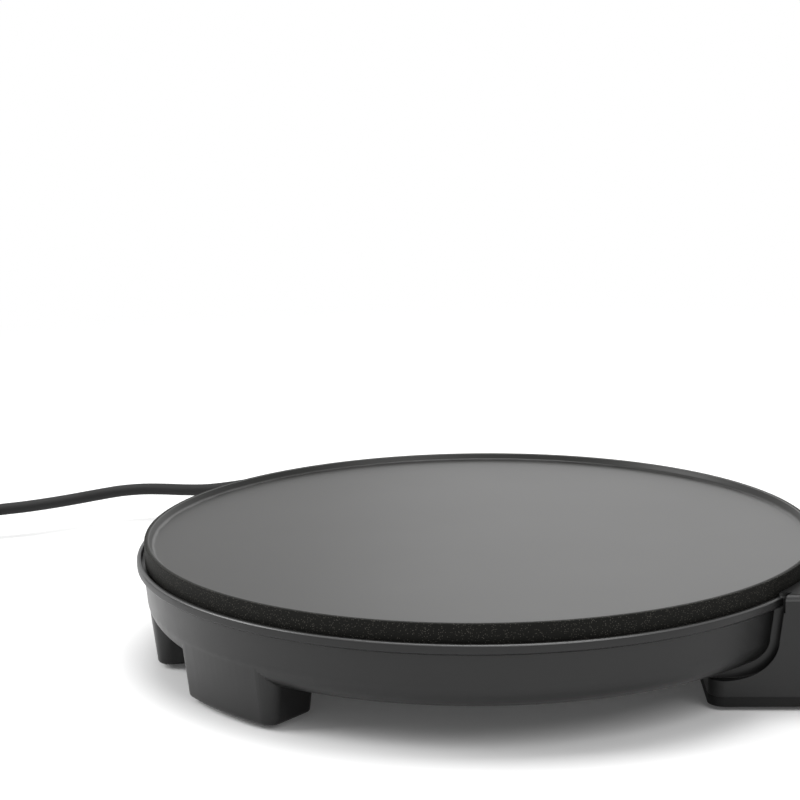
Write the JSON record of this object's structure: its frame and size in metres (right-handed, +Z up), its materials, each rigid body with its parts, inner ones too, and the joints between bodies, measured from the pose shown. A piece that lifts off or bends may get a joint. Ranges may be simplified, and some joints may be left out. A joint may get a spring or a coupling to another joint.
{
  "type": "electric crepe maker",
  "caption": "Round electric crepe maker: a flat cast non-stick plate with a low rim on a black moulded housing with hollow legs and a side control box; its mains lead lies coiled beside it.",
  "frame": {"origin": "On the table, at the middle of the appliance's footprint, knob included and mains lead left out.", "axes": "+X runs from the round plate to the control box along the appliance's length, +Z up from the table, +Y to the side where the lead leaves. Millimetres in the source, metres in the row."},
  "size_m": [0.6228, 0.4256, 0.0602],
  "materials": {
    "nonstick_plate": "satin dark coating on cast aluminium",
    "black_moulding": "satin",
    "dark_moulding": "satin",
    "steel": "zinc plated",
    "shield_sheet": "bright sheet",
    "ceramic": "unglazed ceramic",
    "rubber": "matte",
    "white_plastic": "satin",
    "thermostat_case": "matte",
    "copper": "drawn copper",
    "red_lens": "translucent",
    "green_lens": "translucent",
    "lamp_glass": "clear",
    "brass": "satin",
    "plated_brass": "nickel plated",
    "cord_jacket": "matte",
    "tie_band": "matte",
    "wire_brown": "matte",
    "wire_red": "matte",
    "wire_blue": "matte",
    "wire_green": "matte"
  },
  "bodies": {
    "base": {"griddle_plate": "nonstick_plate", "heating_element": "steel", "element_clips": "steel", "clip_screws": "steel", "heat_shield": "shield_sheet", "shield_spacers": "ceramic", "plate_screws": "steel", "base_housing": "black_moulding", "box_cover": "dark_moulding", "cover_screws": "steel", "rubber_feet": "rubber", "thermostat_body": "thermostat_case", "thermostat_screws": "steel", "thermostat_sensor": "copper", "sensor_clip": "steel", "thermal_fuse": "steel", "fuse_clip": "steel", "power_lamp_lens": "red_lens", "ready_lamp_lens": "green_lens", "lamp_bulbs": "lamp_glass", "terminal_block": "white_plastic", "terminal_screws": "steel", "earth_screw": "brass", "inner_lead": "cord_jacket", "wire_live": "wire_brown", "wire_heater": "wire_red", "wire_neutral": "wire_blue", "wire_earth": "wire_green", "lead_cores": "wire_brown", "cord_clamp": "dark_moulding", "clamp_screws": "steel", "strain_relief": "cord_jacket", "cord_free": "cord_jacket", "cord_coil": "cord_jacket", "cord_tail": "cord_jacket", "cord_tie": "tie_band", "plug_body": "cord_jacket", "plug_pins": "plated_brass", "plug_earth_clips": "brass"},
    "knob": {"control_knob": "dark_moulding", "knob_pointer": "white_plastic", "thermostat_shaft": "steel"}
  },
  "joints": [
    {"name": "thermostat_knob", "type": "hinge", "parent": "base", "child": "knob", "pos_m": [0.1818, 0, 0.028], "axis": [-1, 0, 0], "range_deg": [0, 270]}
  ]
}
